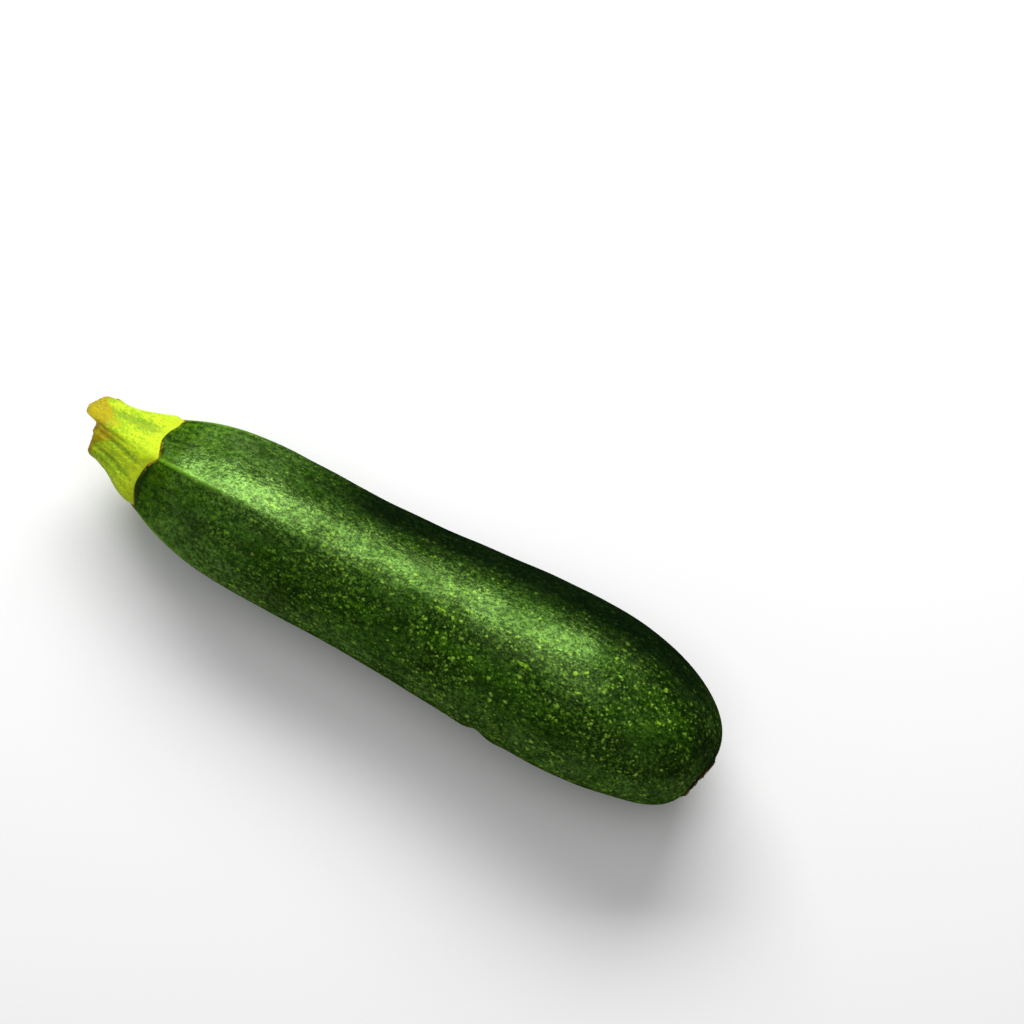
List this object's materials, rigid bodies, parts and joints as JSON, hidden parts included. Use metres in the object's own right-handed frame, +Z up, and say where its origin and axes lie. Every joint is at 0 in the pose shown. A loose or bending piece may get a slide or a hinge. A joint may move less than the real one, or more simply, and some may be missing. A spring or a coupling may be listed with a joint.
{
  "type": "zucchini",
  "caption": "Long dark green zucchini as picked, with softly ribbed speckled skin, a swelling belly, a blunt blossom end and a cut stub of ridged stem, lying on its side.",
  "frame": {"origin": "on the surface that the zucchini lies on, under the centre of its bounding box", "axes": "+X along the fruit from the stem to the blossom end, +Z up with one of the five ribs on top"},
  "size_m": [0.1972, 0.0486, 0.0497],
  "materials": {
    "green_skin": "waxy dark green vegetable skin with pale flecks, satin",
    "stem_skin": "yellow-green ridged stalk skin, matt, dried ochre at the cut"
  },
  "bodies": {
    "root": {"fruit": "green_skin", "stem": "stem_skin"}
  },
  "joints": []
}
